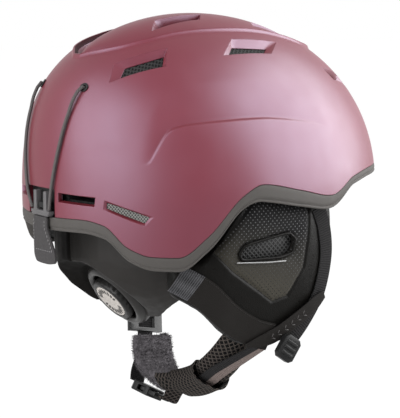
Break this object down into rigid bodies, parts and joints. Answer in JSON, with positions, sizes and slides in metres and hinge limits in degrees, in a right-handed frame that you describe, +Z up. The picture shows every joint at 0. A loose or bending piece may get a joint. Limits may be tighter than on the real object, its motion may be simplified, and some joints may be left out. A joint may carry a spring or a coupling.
{
  "type": "ski helmet",
  "caption": "Hard-shell ski helmet with vents, padded ear covers, a dial fit band at the nape, a goggle strap hook on elastic cords and a padded chin strap with a side-release buckle.",
  "frame": {"origin": "middle of the head, level with the widest line of the shell", "axes": "+Z up to the crown, -Y to the front, +X to the wearer's left"},
  "size_m": [0.22, 0.2763, 0.3],
  "materials": {
    "shell_burgundy": "satin burgundy paint on moulded plastic",
    "trim_taupe": "matt grey-brown flexible trim",
    "foam_black": "black moulded foam",
    "mesh_grey": "grey mesh",
    "plastic_black": "black moulded plastic",
    "cradle_grey": "dark grey soft-touch plastic",
    "cap_ivory": "off-white disc",
    "steel": "plain steel",
    "cord_grey": "braided elastic cord",
    "leather_grey": "grey leather-like tab with stitching",
    "pad_black": "black padded leatherette and fabric",
    "webbing_black": "black woven webbing",
    "webbing_brown": "brown-grey woven webbing",
    "fleece_grey": "dark grey fleece and knitted mesh"
  },
  "bodies": {
    "helmet": {"brow_pad": "pad_black", "buckle_socket": "plastic_black", "chin_pad": "fleece_grey", "chin_webbing_left": "webbing_black", "chin_webbing_right": "webbing_brown", "cord_eyelet_left": "plastic_black", "cord_eyelet_right": "plastic_black", "crown_pad": "pad_black", "dial_housing": "plastic_black", "ear_mesh_left": "mesh_grey", "ear_mesh_right": "mesh_grey", "ear_pad_left": "pad_black", "ear_pad_right": "pad_black", "foam_liner": "foam_black", "front_anchor_left": "plastic_black", "front_anchor_right": "plastic_black", "front_strap_left": "webbing_black", "front_strap_right": "webbing_black", "headband_arm_left": "plastic_black", "headband_arm_right": "plastic_black", "headband_pin_left": "plastic_black", "headband_pin_right": "plastic_black", "outer_shell": "shell_burgundy", "rear_anchor_left": "plastic_black", "rear_anchor_right": "plastic_black", "rear_cradle": "cradle_grey", "rear_strap_left": "webbing_black", "rear_strap_right": "webbing_black", "rim_trim": "trim_taupe", "strap_catch": "plastic_black", "strap_divider_left": "plastic_black", "strap_divider_right": "plastic_black", "strap_keeper_left": "webbing_black", "strap_keeper_right": "webbing_black", "vent_screen_crown_left": "mesh_grey", "vent_screen_crown_right": "mesh_grey", "vent_screen_front_top_left": "mesh_grey", "vent_screen_front_top_right": "mesh_grey", "vent_screen_rear_outer_left": "mesh_grey", "vent_screen_rear_outer_right": "mesh_grey", "vent_screen_rear_top_left": "mesh_grey", "vent_screen_rear_top_right": "mesh_grey"},
    "dial": {"dial_knob": "plastic_black", "dial_cap": "cap_ivory", "dial_pinion": "plastic_black", "dial_screw": "steel"},
    "rack_right": {"fit_rack_right": "plastic_black"},
    "rack_left": {"fit_rack_left": "plastic_black"},
    "hook": {"strap_hook": "plastic_black", "pull_tab": "leather_grey", "elastic_cord_right": "cord_grey", "elastic_cord_left": "cord_grey"},
    "tongue": {"buckle_tongue": "plastic_black"},
    "glide": {"strap_glide": "plastic_black"}
  },
  "joints": [
    {"name": "dial_turn", "type": "hinge", "parent": "helmet", "child": "dial", "pos_m": [0, 0.0675, -0.079], "axis": [0, 0.788, -0.6157], "range_deg": [-90, 90]},
    {"name": "rack_right_slide", "type": "slide", "parent": "helmet", "child": "rack_right", "axis": [1, 0, 0], "range_m": [-0.0085, 0.0085]},
    {"name": "rack_left_slide", "type": "slide", "parent": "helmet", "child": "rack_left", "axis": [1, 0, 0], "range_m": [-0.0085, 0.0085]},
    {"name": "hook_swing", "type": "hinge", "parent": "helmet", "child": "hook", "pos_m": [0, 0.10431, 0.078], "axis": [1, 0, 0], "range_deg": [0, 55]},
    {"name": "tongue_pull", "type": "slide", "parent": "helmet", "child": "tongue", "axis": [-0.95, -0.237, -0.2031], "range_m": [0, 0.014], "deforming": ["chin_webbing_right"]},
    {"name": "glide_shift", "type": "slide", "parent": "helmet", "child": "glide", "axis": [-0.3104, 0.1719, -0.9349], "range_m": [0, 0.009]}
  ],
  "couplings": [
    {"joint": "rack_right_slide", "follows": "dial_turn", "m_per_rad": 0.005093},
    {"joint": "rack_left_slide", "follows": "dial_turn", "m_per_rad": -0.005093}
  ]
}
